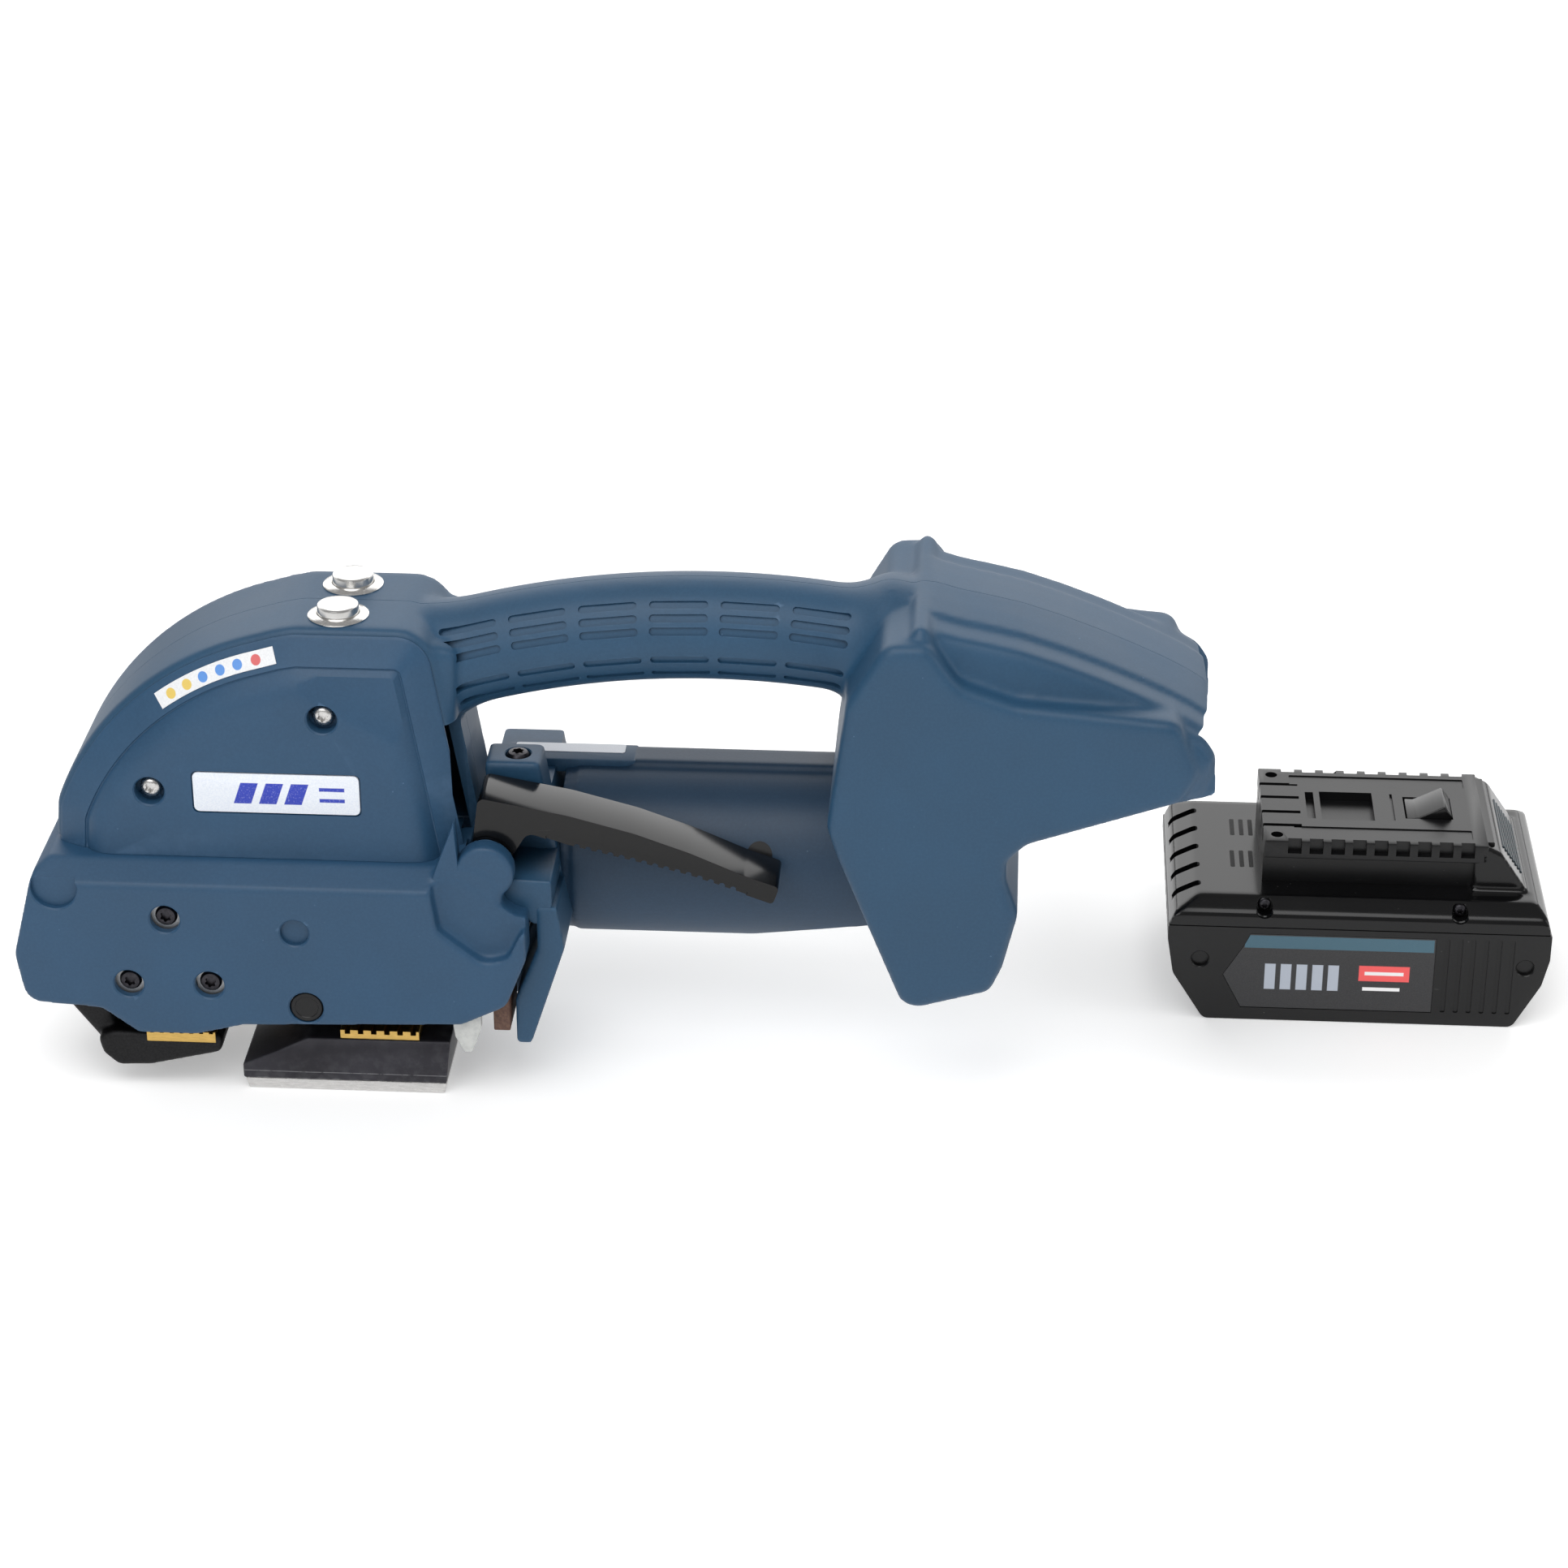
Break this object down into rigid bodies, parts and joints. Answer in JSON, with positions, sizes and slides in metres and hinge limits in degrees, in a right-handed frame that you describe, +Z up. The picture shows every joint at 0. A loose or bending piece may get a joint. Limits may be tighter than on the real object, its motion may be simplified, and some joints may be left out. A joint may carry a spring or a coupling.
{
  "type": "battery strapping tool",
  "caption": "Hand-held battery strapping tool with a grip handle, release lever, two push buttons, rocker, feed wheel, vibrating weld jaw and a separate slide-on battery pack.",
  "frame": {"origin": "on the underside of the base, at the middle of the base plate's length, below the seam between the two housing halves", "axes": "+X towards the rear (battery end) of the tool, +Y towards the back side, away from the strap side, +Z up"},
  "size_m": [0.4639, 0.139, 0.159],
  "materials": {
    "housing_blue": "matte, fine spark texture",
    "cover_blue": "matte, fine spark texture",
    "black_gloss": "glossy black moulding",
    "black_satin": "satin black moulding",
    "blackened_steel": "blackened, bead blasted",
    "bright_steel": "turned and brushed",
    "cast_aluminium": "as cast, bead blasted",
    "brass": "machined",
    "white_label": "satin printed film",
    "pale_plastic": "moulded",
    "brown_block": "laminated phenolic",
    "board_green": "solder mask",
    "belt_rubber": "moulded",
    "cell_wrap": "shrink sleeve",
    "copper": "wound wire"
  },
  "bodies": {
    "tool": {"back_cover_screws": "bright_steel", "back_frame_screws": "blackened_steel", "back_side_cover": "cover_blue", "barrel_plug": "black_satin", "barrel_screw": "blackened_steel", "base_plate": "blackened_steel", "base_wear_plate": "bright_steel", "battery_receptacle": "black_satin", "button_bezels": "bright_steel", "control_board": "board_green", "cover_plug": "black_satin", "cover_screws": "bright_steel", "eccentric_bracket": "cast_aluminium", "feed_bearings": "bright_steel", "frame_screws": "blackened_steel", "gear_frame": "cast_aluminium", "gearbox_cover": "cover_blue", "guide_block": "brown_block", "housing_far_half": "housing_blue", "housing_near_half": "housing_blue", "lever_bracket": "cover_blue", "lever_pin": "bright_steel", "lower_back_cover": "cover_blue", "lower_side_cover": "cover_blue", "motor_barrel": "housing_blue", "motor_stator": "copper", "name_plate": "white_label", "receptacle_blades": "brass", "rocker_pin": "bright_steel", "shaft_bracket": "cast_aluminium", "strap_tongue": "pale_plastic", "switch_bodies": "black_satin", "upper_side_cover": "cover_blue", "weld_belt": "belt_rubber", "weld_gripper": "brass"},
    "lever_body": {"lever": "black_gloss"},
    "rocker_body": {"rocker": "blackened_steel", "rocker_insert": "brass"},
    "feed_body": {"feed_wheel": "blackened_steel", "feed_shaft": "bright_steel", "worm_wheel": "brass"},
    "spindle_body": {"motor_shaft": "bright_steel", "motor_rotor": "blackened_steel", "worm": "bright_steel", "drive_pulley": "cast_aluminium"},
    "eccentric_body": {"eccentric_shaft": "bright_steel"},
    "jaw_body": {"weld_jaw": "blackened_steel", "cutter_blade": "bright_steel"},
    "near_button": {"button_cap_near": "bright_steel"},
    "far_button": {"button_cap_far": "bright_steel"},
    "battery": {"battery_lower_case": "black_satin", "battery_label": "black_satin", "battery_upper_case": "black_gloss", "battery_screws": "blackened_steel", "battery_cells": "cell_wrap", "battery_board": "board_green", "battery_terminals": "brass"},
    "latch_body": {"battery_latch": "black_satin"}
  },
  "joints": [
    {"name": "lever_lift", "type": "hinge", "parent": "tool", "child": "lever_body", "pos_m": [0.0436, -0.0205, 0.077], "axis": [0, -1, 0], "range_deg": [0, 22], "stiffness_Nm_per_rad": 0.25, "springref_deg": -20.05},
    {"name": "rocker_open", "type": "hinge", "parent": "tool", "child": "rocker_body", "pos_m": [-0.084, -0.015, 0.0688], "axis": [0, 1, 0], "range_deg": [0, 8]},
    {"name": "spindle_spin", "type": "hinge", "parent": "tool", "child": "spindle_body", "pos_m": [0.05, 0.017, 0.0595], "axis": [1, 0, 0], "continuous": true},
    {"name": "feed_spin", "type": "hinge", "parent": "tool", "child": "feed_body", "pos_m": [-0.0517, 0, 0.036], "axis": [0, 1, 0], "continuous": true},
    {"name": "eccentric_spin", "type": "hinge", "parent": "tool", "child": "eccentric_body", "pos_m": [0.01, -0.014, 0.05], "axis": [1, 0, 0], "continuous": true},
    {"name": "jaw_vibrate", "type": "slide", "parent": "tool", "child": "jaw_body", "axis": [0, 1, 0], "range_m": [-0.0012, 0.0012], "stiffness_N_per_m": 3000},
    {"name": "near_button_press", "type": "slide", "parent": "tool", "child": "near_button", "axis": [0, 0, -1], "range_m": [0, 0.002], "stiffness_N_per_m": 900, "springref_m": -0.0015},
    {"name": "far_button_press", "type": "slide", "parent": "tool", "child": "far_button", "axis": [0, 0, -1], "range_m": [0, 0.002], "stiffness_N_per_m": 900, "springref_m": -0.0015},
    {"name": "battery_slide", "type": "slide", "parent": "tool", "child": "battery", "axis": [1, 0, 0], "range_m": [0, 0.1]},
    {"name": "latch_press", "type": "slide", "parent": "battery", "child": "latch_body", "axis": [0, 0, -1], "range_m": [0, 0.004], "stiffness_N_per_m": 500, "springref_m": -0.002}
  ],
  "couplings": [
    {"joint": "rocker_open", "follows": "lever_lift", "ratio": 0.36364},
    {"joint": "feed_spin", "follows": "spindle_spin", "ratio": 0.033333},
    {"joint": "eccentric_spin", "follows": "spindle_spin", "ratio": 1}
  ]
}
